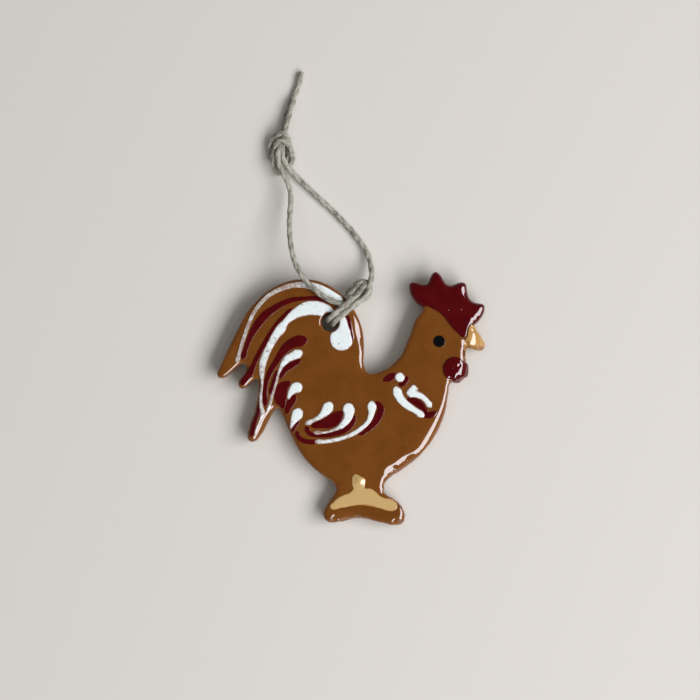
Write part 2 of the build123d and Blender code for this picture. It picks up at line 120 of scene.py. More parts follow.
class Shade:
    """A socket of a shader's node, to be used in sums, with one way to add any other node beside it."""

    def __init__(self, socket):
        self.socket = socket
        self.tree = socket.id_data

    def node(self, kind, settings=None, inputs=None, output=0):
        """Add a node with its settings, then its inputs' values or links, and give one of its outputs."""
        made = self.tree.nodes.new(kind)
        for name, value in (settings or {}).items():
            setattr(made, name, value)
        for name, value in (inputs or {}).items():
            if isinstance(value, Shade):
                self.tree.links.new(value.socket, made.inputs[name])
            else:
                made.inputs[name].default_value = value
        return Shade(made.outputs[output])

    def math(self, operation, first, second):
        return self.node("ShaderNodeMath", {"operation": operation}, {0: first, 1: second})

    def mix(self, first, second):
        """A colour between two others, where this value is the share of the second."""
        inputs = {0: self, 6: first, 7: second}
        return self.node("ShaderNodeMix", {"data_type": "RGBA"}, inputs, 2)

    def ramp(self, low, high):
        """This value stretched so that low becomes 0 and high becomes 1, with soft ends."""
        inputs = {"Value": self, "From Min": low, "From Max": high}
        return self.node("ShaderNodeMapRange", {"interpolation_type": "SMOOTHSTEP"}, inputs)

    def noise(self, scale, detail):
        """Noise over this vector, from about 0.3 to 0.7."""
        return self.node("ShaderNodeTexNoise", {}, {"Vector": self, "Scale": scale, "Detail": detail})

    def part(self, axis):
        """One part of this vector: X, Y or Z."""
        return self.node("ShaderNodeSeparateXYZ", {}, {0: self}, axis)

    def __add__(self, other):
        return self.math("ADD", self, other)

    def __sub__(self, other):
        return self.math("SUBTRACT", self, other)

    def __rsub__(self, other):
        return self.math("SUBTRACT", other, self)

    def __mul__(self, other):
        return self.math("MULTIPLY", self, other)

    __radd__ = __add__
    __rmul__ = __mul__


def connect(shader, **inputs):
    """Set or link the shader's sockets, whose names are written with underscores."""
    for name, value in inputs.items():
        socket = shader.inputs[name.replace("_", " ")]
        if isinstance(value, Shade):
            value.tree.links.new(value.socket, socket)
        else:
            socket.default_value = value


room = bpy.data.worlds.new("room")
room.use_nodes = True
sky = Shade(room.node_tree.nodes.new("ShaderNodeTexCoord").outputs["Generated"])
overhead = sky.part("Z").ramp(*ceiling_edge)
connect(room.node_tree.nodes["Background"], Color=overhead.mix(wall_colour, ceiling_colour))
scene.world = room

# The table: a plain pale matt board under the ornament, wide enough to fill every view.
# It lies a hair below the ornament, so that the two never share a face.
table_half_width = 1.5
table_drop = 0.02 * mm
table_colour = (0.66, 0.63, 0.58, 1)
table_roughness = 0.8
board = bmesh.new()
bmesh.ops.create_grid(board, x_segments=1, y_segments=1, size=table_half_width)
bmesh.ops.translate(board, verts=board.verts, vec=(0, 0, -table_drop))
board_mesh = bpy.data.meshes.new("table")
board.to_mesh(board_mesh)
board.free()
table = bpy.data.objects.new("table", board_mesh)
scene.collection.objects.link(table)
pale_board = bpy.data.materials.new("pale_board")
pale_board.use_nodes = True
connect(pale_board.node_tree.nodes["Principled BSDF"], Base_Color=table_colour, Roughness=table_roughness)
board_mesh.materials.append(pale_board)

# The clay slab: red earthenware rolled flat and cut out by hand, its rims sponged round, the hole pierced
# while it was soft. Its face and sides wear a caramel-brown slip under clear glaze, and its back is bare.
# The slab is worked on in millimetres, with its back at height zero and the hole at the middle.
swing = next(joint for joint in frame["joints"] if joint["name"] == "hanger_swing")
slab_up = Vector(swing["axis"]).normalized()
slab_x = Vector((1, 0, 0))
slab_turn = Matrix((slab_x, slab_up.cross(slab_x), slab_up)).transposed().to_4x4()
to_frame = Matrix.Translation(Vector(swing["pos_m"])) @ slab_turn @ Matrix.Scale(mm, 4)
to_slab = to_frame.inverted()
hole_place = Vector(swing["pos_m"]).xy / mm
hole_radius = 2.15
hole_zone = 1.3 * hole_radius
hole_fillet = 0.4
hole_round = (0.5, 0.5)
glaze_skin = 0.2
slab_voxel = 0.27
slab_rounds = 3
slab_soft = 12
merge_distance = 0.002
tiny = 1e-6

# The rounding of the rims, as its width on the face and its depth down the side, and the solid's own fillet.
# With a power of 2 the rounding would be an ellipse, and with 1 a straight bevel.
rim_fillet = 0.6
rim_round = (0.9, 0.8)
rim_power = 1.5
rim_least = 0.5
wall_depth = 0.45
wall_steepness = 0.3
wall_touch = 0.02
back_zone = 0.7

# Rims that were sponged more: the way they face, how nearly they face it where that starts and where it is
# full, and what it adds to the width and the depth. It sets in at the hole and holds to the right of it.
rim_sponged = (
    (Vector((0.97, -0.26, 0)), 0.50, 0.80, 0.6, -0.1),
    (Vector((0.34, -0.94, 0)), 0.87, 1.00, 1.5, 1.7),
)
sponged_from = -3
sponged_over = 4

# Places where the fingers made the rounding larger or smaller, each with its radius and the factor there.
rim_worked = (
    (24.3, 3.0, 4.5, 0.7), (20.5, -9.0, 5.5, 1.7), (12.6, -27.5, 2.6, 0.5), (-31.5, 7.5, 3.5, 0.6),
    (-26.6, 4.6, 2.5, 0.6), (2.2, 16.0, 3.5, 2.0), (-21.3, -5.5, 4.0, 1.9), (21.9, 29.5, 1.6, 0.6),
)

# Points of the comb, each with its radius and how far it is drawn out to the right and upwards.
comb_points = (
    (21.4, 30.9, 1.1, 0.0, 0.35), (15.2, 28.3, 1.2, -0.3, 0.35), (28.3, 28.2, 1.0, 0.3, 0.25),
    (33.0, 22.7, 1.0, 0.25, 0.3),
)

# The beak is pinched thinner from its root towards its tip, and this eases off below the comb.
beak_root = (29.3, 15.5)
beak_way = (0.93, -0.37)
beak_slope = 0.11
beak_top = 18.6
beak_ease = 1.2

# Slow unevenness of the hand-rolled clay.
swell_height = 0.05
swell_width = 9.0
swell_seed = 7


def solid_copy(node):
    """A merged copy of a solid's mesh in millimetres, with the back of the slab at height zero."""
    copy = bmesh.new()
    copy.from_mesh(frame["nodes"][node].data)
    copy.transform(to_slab)
    bmesh.ops.remove_doubles(copy, verts=copy.verts, dist=merge_distance)
    return copy


def soften(holder, rounds):
    """Smooth an object's mesh and apply the modifiers that are on it."""
    smooth = holder.modifiers.new("soft", "SMOOTH")
    smooth.factor = 0.5
    smooth.iterations = rounds
    bpy.context.view_layer.update()
    softened = bpy.data.meshes.new_from_object(holder.evaluated_get(bpy.context.evaluated_depsgraph_get()))
    holder.modifiers.clear()
    holder.data = softened


def even_mesh(solid, name, voxel, rounds):
    """An object whose mesh is the solid, rebuilt in even small squares and smoothed."""
    rough = bpy.data.meshes.new(name)
    solid.to_mesh(rough)
    holder = bpy.data.objects.new(name, rough)
    scene.collection.objects.link(holder)
    remesh = holder.modifiers.new("even", "REMESH")
    remesh.mode = "VOXEL"
    remesh.voxel_size = voxel
    soften(holder, rounds)
    return holder


def wall_guide(solid, keep=None):
    """Upright walls of a solid, drawn out far up and down, to find how far inside them a spot lies."""
    middle = 2.5
    stretch = 40
    walls = solid.copy()
    flat = [face for face in walls.faces if abs(face.normal.z) > wall_steepness or (keep and not keep(face))]
    bmesh.ops.delete(walls, geom=flat, context="FACES")
    for vert in walls.verts:
        vert.co.z = (vert.co.z - middle) * stretch
    guide = BVHTree.FromBMesh(walls)
    walls.free()
    return guide


def inside_walls(guide, spots):
    """How far each spot lies inside the nearest wall, where that wall is and the way out from it."""
    places = np.empty((len(spots), 3))
    facing = np.empty((len(spots), 3))
    for number, spot in enumerate(spots):
        place, normal, _, _ = guide.find_nearest(spot)
        places[number] = place
        facing[number] = normal
    facing[:, 2] = 0
    facing /= np.linalg.norm(facing, axis=1)[:, None]
    away = spots - places
    away[:, 2] = 0
    distance = np.linalg.norm(away, axis=1)
    side = np.where((away * facing).sum(axis=1) > 0, 1.0, -1.0)
    apart = distance > wall_touch
    facing[apart] = (away * (side / np.maximum(distance, tiny))[:, None])[apart]
    return -side * distance, places, facing


def nearness(spots, x, y, radius):
    """How near each spot of the slab is to a place on it, from 1 there to nearly 0 two radii away."""
    away = np.hypot(spots[:, 0] + hole_place.x - x, spots[:, 1] + hole_place.y - y) / radius
    return np.exp(-(away**2))


def rim_rounding(walls, facing):
    """Whether each place on the walls is in the hole, and how wide and deep the rounding above it is."""
    at_hole = np.hypot(walls[:, 0], walls[:, 1]) < hole_zone
    wide = np.where(at_hole, hole_round[0], rim_round[0])
    deep = np.where(at_hole, hole_round[1], rim_round[1])
    sets_in = np.clip((walls[:, 0] - sponged_from) / sponged_over, 0, 1)
    for side, start, full, more_wide, more_deep in rim_sponged:
        share = np.clip((facing @ np.array(side) - start) / (full - start), 0, 1)
        share *= share * (3 - 2 * share) * sets_in * ~at_hole
        wide = wide + more_wide * share
        deep = deep + more_deep * share
    for x, y, radius, share in rim_worked:
        worked = np.where(at_hole, 1, 1 + (share - 1) * nearness(walls, x, y, radius))
        wide = np.maximum(wide * worked, rim_least)
        deep = np.maximum(deep * worked, rim_least)
    return at_hole, wide, deep


def on_slab(spots):
    """Each spot's place on the slab's rounded surface and the way up from it.

    Also its height above the slab's solid, and how far it lies inside the walls.
    """
    inside, walls, facing = inside_walls(slab_walls, spots)
    at_hole, wide, deep = rim_rounding(walls, facing)
    skin = np.where(at_hole, 0, glaze_skin)
    fillet = np.where(at_hole, hole_fillet, rim_fillet)
    out = wide - inside
    up = spots[:, 2] - (slab_thickness - deep)
    on_rim = (out > 0) & (up > 0)
    on_wall = ~on_rim & (up <= 0) & (inside < wall_depth) & (spots[:, 2] > back_zone)
    on_face = ~on_rim & (out <= 0) & (spots[:, 2] > slab_thickness / 2)
    base = spots.copy()
    way = np.zeros_like(spots)
    height = np.zeros(len(spots))

    # The face and the walls keep their places, apart from the glaze on the walls.
    base[on_face, 2] = slab_thickness
    way[on_face, 2] = 1
    height[on_face] = spots[on_face, 2] - slab_thickness
    base[on_wall, :2] = (walls + facing * skin[:, None])[on_wall, :2]
    way[on_wall] = facing[on_wall]
    height[on_wall] = -inside[on_wall]

    # The solid's own edge, with its small fillet, as seen from the inner corner of the wide rounding.
    reach = np.maximum(np.hypot(out, up), tiny)
    lean = out / reach
    rise = up / reach
    along = lean * (wide - fillet) + rise * (deep - fillet)
    arc = along + np.sqrt(np.maximum(along**2 - (wide - fillet) ** 2 - (deep - fillet) ** 2 + fillet**2, 0))
    flat = np.minimum(wide / np.maximum(lean, tiny), deep / np.maximum(rise, tiny))
    on_fillet = (arc * lean > wide - fillet) & (arc * rise > deep - fillet)
    solid_reach = np.where(on_fillet, arc, flat)

    # The wide rounding itself.
    turn = np.arctan2(np.maximum(out, 0) / wide, np.maximum(up, 0) / deep)
    bulge_out = np.sin(turn) ** (2 / rim_power)
    bulge_up = np.cos(turn) ** (2 / rim_power)
    slope = facing * (bulge_out ** (rim_power - 1) / wide)[:, None]
    slope[:, 2] = bulge_up ** (rim_power - 1) / deep
    slope /= np.linalg.norm(slope, axis=1)[:, None]
    rounded = walls + facing * ((wide + skin) * bulge_out - wide)[:, None]
    rounded[:, 2] = slab_thickness + deep * (bulge_up - 1)
    base[on_rim] = rounded[on_rim]
    way[on_rim] = slope[on_rim]
    height[on_rim] = (reach - solid_reach)[on_rim]
    return base, way, height, inside


def swell(spots):
    """The unevenness of the clay at each spot."""
    waves = [noise.noise(Vector((x, y, swell_seed)) / swell_width) for x, y, z in spots]
    return swell_height * np.array(waves)


def read_spots(mesh):
    """The places of a mesh's vertices, one row each."""
    spots = np.empty(len(mesh.vertices) * 3)
    mesh.vertices.foreach_get("co", spots)
    return spots.reshape(-1, 3)


def write_spots(mesh, spots, **measures):
    """Put a mesh's vertices in place in the ornament's frame, with what was measured at each of them."""
    mesh.vertices.foreach_set("co", spots.ravel())
    mesh.transform(to_frame)
    for name, values in measures.items():
        measure = mesh.attributes.new(name, "FLOAT", "POINT")
        measure.data.foreach_set("value", np.asarray(values, np.float32))
    mesh.shade_smooth()


def pinch_beak(spots):
    """Press the slab thinner towards the tip of the beak, as between finger and thumb."""
    x = spots[:, 0] + hole_place.x - beak_root[0]
    y = spots[:, 1] + hole_place.y - beak_root[1]
    reach = np.maximum(x * beak_way[0] + y * beak_way[1], 0)
    reach = reach * np.clip((beak_top - beak_root[1] - y) / beak_ease, 0, 1)
    spots[:, 2] *= 1 - beak_slope * reach**2 / slab_thickness


def draw_out_comb(mesh):
    """Draw the outline out to a crisper point at each point of the comb."""
    spots = read_spots(mesh) / mm
    for x, y, radius, right, up in comb_points:
        near = np.exp(-((spots[:, 0] - x) ** 2 + (spots[:, 1] - y) ** 2) / radius**2)
        spots[:, 0] += right * near
        spots[:, 1] += up * near
    mesh.vertices.foreach_set("co", (spots * mm).ravel())
    mesh.update()


def new_material(name):
    """A material, its shader and the place on the piece that it is painted by."""
    material = bpy.data.materials.new(name)
    material.use_nodes = True
    nodes = material.node_tree.nodes
    place = Shade(nodes.new("ShaderNodeTexCoord").outputs["Object"])
    return material, nodes["Principled BSDF"], place


def measured(place, name):
    """What was measured at each vertex of the piece under this name."""
    return place.node("ShaderNodeAttribute", {"attribute_name": name}, {}, "Fac")


# The slab's mesh.
plaque_solid = solid_copy("clay_plaque")
slab_thickness = max(vert.co.z for vert in plaque_solid.verts)
slab_walls = wall_guide(plaque_solid)
clay_plaque = even_mesh(plaque_solid, "rooster_clay", slab_voxel, slab_rounds)
plaque_solid.free()
slab_base, slab_way, _, slab_inside = on_slab(read_spots(clay_plaque.data))
slab_spots = slab_base + slab_way * swell(slab_base)[:, None]
slab_level = slab_spots[:, 2].copy()
pinch_beak(slab_spots)
write_spots(clay_plaque.data, slab_spots, rim=slab_inside, level=slab_level)
soften(clay_plaque, slab_soft)
draw_out_comb(clay_plaque.data)

# The slab's finish: mottled brown with dark specks, thinner and paler along the rims, and bare near the back.
glaze = {"Specular_IOR_Level": 0.0, "Coat_IOR": 1.85, "Coat_Roughness": 0.06}
clay_brown = (0.158, 0.050, 0.0070, 1)
clay_amber = (0.182, 0.060, 0.0090, 1)
clay_dark = (0.085, 0.028, 0.006, 1)
clay_thin = (0.330, 0.130, 0.035, 1)
clay_bare = (0.360, 0.150, 0.075, 1)
mottle_scale = 160
mottle_range = (0.35, 0.65)
speck_scale = 2600
speck_range = (0.62, 0.70)
speck_share = 0.55
thin_rim = (0.05, 0.9)
thin_level = (2.0, 4.5)
thin_share = 0.15
bare_scale = 400
bare_wander = 0.8
bare_level = (0.95, 1.15)
grain_scale = 1500
grain_strength = 0.05
grain_depth = 0.1 * mm
brown_roughness = 0.35
bare_roughness = 0.85
material, shader, place = new_material("caramel_glaze")
level = measured(place, "level")
rim = measured(place, "rim")
mottle = place.noise(mottle_scale, detail=4).ramp(*mottle_range)
specks = place.noise(speck_scale, detail=1).ramp(*speck_range)
colour = mottle.mix(clay_brown, clay_amber)
colour = (specks * speck_share).mix(colour, clay_dark)
thin = (1 - rim.ramp(*thin_rim)) * level.ramp(*thin_level) * thin_share
colour = thin.mix(colour, clay_thin)
bare = 1 - (level + place.noise(bare_scale, detail=2) * bare_wander).ramp(*bare_level)
colour = bare.mix(colour, clay_bare)
grain = place.noise(grain_scale, detail=3)
grain_bump = {"Strength": grain_strength, "Distance": grain_depth, "Height": grain}
connect(
    shader,
    Base_Color=colour,
    Roughness=bare * (bare_roughness - brown_roughness) + brown_roughness,
    Coat_Weight=1 - bare,
    Normal=place.node("ShaderNodeBump", {}, grain_bump, "Normal"),
    **glaze,
)
clay_plaque.data.materials.append(material)
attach(clay_plaque, "rooster")
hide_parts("clay_plaque")

# The slips: coloured liquid clays trailed from a fine spout or brushed on the soft slab, then fired with it
# under the same glaze. Trails stand up as low rounded beads, and thin tails let the brown show through.
slip_sink = 0.12
slip_edge = 0.07
slip_top = 0.14
slip_border = 0.2
slip_rounds = 4
spread_reach = 0.8
thin_crown = 0.4
glazed_slip = {"Roughness": 0.4, "Coat_Weight": 1.0, **glaze}


def press_marks(mesh, marks):
    """Raise a thick dab or sink a pinhole at each place on the slab, given with its radius and its height."""
    spots = read_spots(mesh) / mm
    tops = np.empty(len(spots) * 3)
    mesh.vertex_normals.foreach_get("vector", tops)
    for x, y, radius, rise in marks:
        away = np.hypot(spots[:, 0] - x, spots[:, 1] - y) / radius
        spots[:, 2] += np.where(tops[2::3] > 0, rise * np.exp(-(away**2)), 0)
    mesh.vertices.foreach_set("co", (spots * mm).ravel())
    mesh.update()


def lay_slip(node, material, rise, shoulder, grow, voxel=0.1, soft=2, fade=None, marks=(), pools=()):
    """Make one slip: a bead on the slab's face, or a coat that wraps over its rim."""
    solid = solid_copy(node)

    def is_border(face):
        depth, _, _ = inside_walls(slab_walls, np.array([face.calc_center_median()]))
        return depth[0] > slip_border

    borders = wall_guide(solid, is_border)
    slip = even_mesh(solid, node.replace("_slip", "_coat"), voxel, slip_rounds)
    solid.free()
    spots = read_spots(slip.data)
    depth, _, facing = inside_walls(borders, spots)
    depth = np.abs(depth)
    spread = np.full(len(spots), grow)
    for x, y, radius, push in pools:
        spread += push * nearness(spots, x, y, radius)
    spots += facing * (spread * np.clip(1 - depth / spread_reach, 0, 1))[:, None]
    base, way, height, _ = on_slab(spots)
    fullness = np.clip(depth / shoulder, 0, 1)
    crown = slip_edge + (rise - slip_edge) * np.sqrt(1 - (1 - fullness) ** 2)
    body = np.ones(len(spots))
    if fade:
        full, thin, loss = fade
        run = Vector(thin) - Vector(full)
        start = Vector(full) - hole_place
        far = ((spots[:, :2] - np.array(start)) * np.array(run)).sum(axis=1) / run.length_squared
        body = 1 - loss * np.clip(far, 0, 1)
        crown *= thin_crown + (1 - thin_crown) * body
    lift = np.where(height > slip_top, crown, -slip_sink) + swell(base)
    spots = base + way * lift[:, None]
    pinch_beak(spots)
    write_spots(slip.data, spots, depth=depth, body=body)
    soften(slip, soft)
    press_marks(slip.data, marks)
    draw_out_comb(slip.data)
    slip.data.materials.append(material)
    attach(slip, "rooster")
    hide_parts(node)


# White slip: pipe-clay white in broad strokes, commas and drops, with a few pits where bubbles burst.
# A stroke starts full and runs out thin: where it is full, where it is thin, and the share that it loses.
# A pool is a place where the slip spread out, with its radius and how far it spread.
white_full = (0.82, 0.89, 0.875, 1)
white_thin = (0.36, 0.25, 0.21, 1)
white_pit = (0.25, 0.14, 0.08, 1)
noise_middle = 0.5
streak_scale = 1100
streaks_at_edge = 0.5
streaks_in_body = 1.3
white_edge = (0.04, 0.34)
white_body = (0.15, 0.95)
pit_scale = 1300
pit_range = (0.775, 0.80)
pit_share = 0.6
white_strokes = {
    "tail_rim_white_trail": ((-4, 27), (-12, 28), 0.58),
    "tail_broad_white_trail": ((-15, 19), (-22, 4), 0.45),
    "feather_white_comma": ((-14, 10.5), (-18, 4), 0.45),
    "tail_base_white_drop": None,
    "saddle_white_teardrop": ((-14, 2), (-15.5, -1), 0.40),
    "wing_white_comma_rear": ((-13.5, -4.5), (-15.2, -8), 0.50),
    "wing_white_comma_upper": ((-6.5, -2.8), (-11, -6), 0.50),
    "wing_white_comma_middle": ((-1.5, -4.5), (-8, -8.4), 0.60),
    "wing_white_comma_front": ((5, -4), (-9, -10.8), 0.35),
    "breast_white_trail_rear": None,
    "breast_white_trail_front": ((16.5, 2), (20.2, -2), 0.25),
    "breast_white_dot": None,
}
white_pools = {
    "breast_white_trail_front": [(14.2, 1.4, 1.2, 0.5), (16.0, 3.2, 0.7, 0.25)],
    "tail_rim_white_trail": [(-12.0, 29.6, 6.0, 0.25)],
}
material, shader, place = new_material("white_slip")
streaks = place.noise(streak_scale, detail=3) - noise_middle
at_edge = (measured(place, "depth") + streaks * streaks_at_edge).ramp(*white_edge)
in_body = (measured(place, "body") + streaks * streaks_in_body).ramp(*white_body)
pits = place.noise(pit_scale, detail=0).ramp(*pit_range)
colour = (at_edge * in_body).mix(white_thin, white_full)
colour = (pits * pit_share).mix(colour, white_pit)
connect(shader, Base_Color=colour, **glazed_slip)
for node, fade in white_strokes.items():
    pools = white_pools.get(node, [])
    lay_slip(node, material, rise=0.28, shoulder=0.9, grow=0.10, fade=fade, pools=pools)

# Red slip: dark iron red beside the white trails, and brushed in one coat over the comb and the wattle.
# The coats have pinholes where the glaze drew back, each a place with its radius and its depth.
red_deep = (0.070, 0.0012, 0.0024, 1)
red_warm = (0.085, 0.0020, 0.0030, 1)
red_thin = (0.110, 0.0180, 0.0060, 1)
cloud_scale = 300
cloud_range = (0.35, 0.65)
red_edge = (0.0, 0.15)
red_coats = {
    "comb_slip": ((24.9, 21.7, 0.28, -0.14), (28.0, 21.8, 0.28, -0.14), (19.4, 24.4, 0.26, -0.12)),
    "wattle_slip": ((25.6, 9.1, 0.25, -0.12), (25.8, 7.3, 0.25, -0.12), (27.2, 8.0, 0.35, -0.18)),
}
material, shader, place = new_material("red_slip")
colour = place.noise(cloud_scale, detail=3).ramp(*cloud_range).mix(red_deep, red_warm)
colour = (1 - measured(place, "depth").ramp(*red_edge)).mix(colour, red_thin)
connect(shader, Base_Color=colour, **glazed_slip)
red_slips = [part["node"] for part in frame["record"]["subparts"] if part["material_slot"] == "red_slip"]
for node in red_slips:
    if node in red_coats:
        lay_slip(node, material, rise=0.36, shoulder=0.8, grow=0.20, voxel=0.14, soft=48,
                 marks=red_coats[node])
    else:
        lay_slip(node, material, rise=0.16, shoulder=0.7, grow=0.14)

# Cream slip: brushed over the foot and the leg, thin at its edges, with one thick dab on the leg.
# It ran out a little into the toes.
cream_full = (0.58, 0.385, 0.155, 1)
cream_thin = (0.40, 0.19, 0.055, 1)
brush_scale = 500
brush_wander = 0.8
brush_edge = (0.0, 0.35)
leg_dab = [(2.2, -20.5, 1.1, 0.45)]
toe_pools = [(10.2, -25.9, 1.3, 0.9), (-4.9, -27.0, 1.3, 0.45)]


def brushed(place, thin, full):
    """The colour of a brushed slip, which lets the brown through along its uneven edge."""
    wander = (place.noise(brush_scale, detail=3) - noise_middle) * brush_wander
    return (measured(place, "depth") + wander).ramp(*brush_edge).mix(thin, full)


material, shader, place = new_material("cream_slip")
connect(shader, Base_Color=brushed(place, cream_thin, cream_full), **glazed_slip)
lay_slip("foot_slip", material, rise=0.22, shoulder=0.8, grow=0.14, voxel=0.12, soft=14,
         marks=leg_dab, pools=toe_pools)

# Ochre slip: brushed over the beak in the same way, with painted shade that makes it browner along its lower edge.
ochre_full = (0.46, 0.25, 0.075, 1)
ochre_thin = (0.32, 0.14, 0.030, 1)
ochre_painted_shade = (0.30, 0.13, 0.028, 1)
beak_painted_shade_span = (12.4 * mm, 13.4 * mm)
material, shader, place = new_material("ochre_slip")
# Painted shade: below a given height the beak's ochre turns browner, as if its underside lay in shade.
colour = place.part("Y").ramp(*beak_painted_shade_span).mix(ochre_painted_shade, brushed(place, ochre_thin, ochre_full))
connect(shader, Base_Color=colour, **glazed_slip)
lay_slip("beak_slip", material, rise=0.22, shoulder=0.8, grow=0.14, voxel=0.12, soft=14)

# Black slip: the eye, one round dab from the tip of a brush, with a brown edge where it is thin.
eye_black = (0.003, 0.0033, 0.0045, 1)
eye_brown = (0.020, 0.009, 0.004, 1)
eye_edge = (0.0, 0.25)
material, shader, place = new_material("black_slip")
connect(shader, Base_Color=measured(place, "depth").ramp(*eye_edge).mix(eye_brown, eye_black), **glazed_slip)
lay_slip("eye_dot", material, rise=0.12, shoulder=1.4, grow=0.05)

# The twine: undyed flax, two plies laid together, grey-beige and a little hairy. One length goes through the
# hole, is hitched round the rim, and comes up as two strands to the knot that closes the loop.
lay_length = 6.0 * mm
steps_per_turn = 36
fewest_steps = 4
seeds_apart = 10

# The plies are a little uneven, and their fibres wind round them with fine furrows between.
ply_offset = 0.17 * mm
ply_radius = 0.55 * mm
ply_sides = 12
ply_uneven = 0.12
uneven_length = 2.5 * mm
uneven_apart = 9
fibre_turn = 900
fibre_stretch = 220
fibres_apart = 5
furrow_fineness = Vector((2.6, 2.6, 1))
furrow_depth = 0.05 * mm

# Loose fibres stand off the twine like hairs, but not at its very ends. Each has a tone of its own.
hairs_per_metre = 2600
hair_margin = 2
hair_radius = 0.014 * mm
hair_taper = 0.5
hair_sides = 4
hair_reach = 0.9 * mm
hair_lengths = (0.35, 1.0)
hair_root = 0.8
hair_out = (0.2, 0.5)
hair_along = (0.5, 1.0)
hair_bow = (0.05, 0.25)
hair_drift = 0.2
hair_floor = 0.1 * mm
hair_tint = 0.37
hair_tone = 3

# The flax is streaked along its fibres, paler where one stands up, and a little patchy.
flax_light = (0.46, 0.45, 0.38, 1)
flax_mid = (0.32, 0.31, 0.25, 1)
flax_dark = (0.14, 0.13, 0.095, 1)
fibre_scale = 4.5
fibre_share = 0.85
patch_scale = 350
patch_share = 0.4
tone_range = (0.48, 0.74)
dark_tones = (0.0, 0.55)
light_tones = (0.45, 1.0)
fibre_strength = 0.6
fibre_depth = 0.08 * mm
flax_roughness = 0.85
flax_sheen = 0.15
flax, shader, place = new_material("flax_twine")
fibre_place = place.node("ShaderNodeAttribute", {"attribute_name": "fibre"}, {}, "Vector")
fibre = fibre_place.noise(fibre_scale, detail=4)
tone = (fibre * fibre_share + place.noise(patch_scale, detail=2) * patch_share).ramp(*tone_range)
colour = tone.ramp(*dark_tones).mix(flax_dark, flax_mid)
colour = tone.ramp(*light_tones).mix(colour, flax_light)
fibre_bump = {"Strength": fibre_strength, "Distance": fibre_depth, "Height": fibre}
connect(
    shader,
    Base_Color=colour,
    Roughness=flax_roughness,
    Normal=place.node("ShaderNodeBump", {}, fibre_bump, "Normal"),
    Sheen_Weight=flax_sheen,
)


def smooth_route(points):
    """Points along the smooth line that a route's points steer."""
    curve = bpy.data.curves.new("route", "CURVE")
    curve.dimensions = "3D"
    curve.resolution_u = 40
    spline = curve.splines.new("NURBS")
    spline.points.add(len(points) - 1)
    for control, spot in zip(spline.points, points):
        control.co = (*spot, 1)
    spline.order_u = 3
    spline.use_endpoint_u = True
    holder = bpy.data.objects.new("route", curve)
    line = bpy.data.meshes.new_from_object(holder)
    spots = [vert.co.copy() for vert in line.vertices]
    bpy.data.objects.remove(holder)
    bpy.data.curves.remove(curve)
    bpy.data.meshes.remove(line)
    return spots


def even_course(line, step):
    """Equal steps along a line: the spot, the way on, a way across and how far along it lies, for each."""
    lengths = [0.0]
    for before, after in zip(line, line[1:]):
        lengths.append(lengths[-1] + (after - before).length)
    count = max(int(lengths[-1] / step), fewest_steps)
    wanted = np.linspace(0, lengths[-1], count + 1)
    rows = np.array(line)
    spots = [Vector([np.interp(far, lengths, rows[:, axis]) for axis in range(3)]) for far in wanted]
    ways = []
    for number in range(len(spots)):
        way = spots[min(number + 1, count)] - spots[max(number - 1, 0)]
        ways.append(way.normalized())
    side = ways[0].orthogonal().normalized()
    sides = []
    for way in ways:
        side = (side - way * side.dot(way)).normalized()
        sides.append(side)
    return list(zip(spots, ways, sides, wanted))


def tube(spots, radii, sides):
    """A closed tube through the spots, as a mesh."""
    curve = bpy.data.curves.new("ply", "CURVE")
    curve.dimensions = "3D"
    curve.bevel_depth = 1
    curve.bevel_resolution = sides // 2 - 2
    curve.use_fill_caps = True
    spline = curve.splines.new("POLY")
    spline.points.add(len(spots) - 1)
    for control, spot, radius in zip(spline.points, spots, radii):
        control.co = (*spot, 1)
        control.radius = radius
    holder = bpy.data.objects.new("ply", curve)
    mesh = bpy.data.meshes.new_from_object(holder)
    bpy.data.objects.remove(holder)
    bpy.data.curves.remove(curve)
    return mesh


def add_mesh(bm, mesh):
    """Add a mesh to the twine, and give the vertices that came with it."""
    first = len(bm.verts)
    bm.from_mesh(mesh)
    bpy.data.meshes.remove(mesh)
    bm.verts.ensure_lookup_table()
    return bm.verts[first:]


def lay_ply(bm, fibre_layer, course, start, seed, ply):
    """Add one ply, which winds round the course from a starting angle, with furrows between its fibres."""
    centres = []
    radii = []
    for spot, way, side, far in course:
        angle = start + math.pi * ply + math.tau * far / lay_length
        across = side * math.cos(angle) + way.cross(side) * math.sin(angle)
        uneven = noise.noise(Vector((far / uneven_length, ply * uneven_apart, seed)))
        centres.append(spot + across * ply_offset)
        radii.append(ply_radius * (1 + ply_uneven * uneven))
    mesh = tube(centres, radii, ply_sides)
    ring = len(mesh.vertices) // len(centres)
    for number, vert in enumerate(add_mesh(bm, mesh)):
        step = min(number // ring, len(centres) - 1)
        far = course[step][3]
        around = math.tau * (number % ring) / ring + fibre_turn * far
        onward = far * fibre_stretch + ply * fibres_apart + seed
        streak = Vector((math.cos(around), math.sin(around), onward))
        vert[fibre_layer] = streak
        furrow = noise.noise(streak * furrow_fineness)
        vert.co += (vert.co - centres[step]).normalized() * furrow * furrow_depth


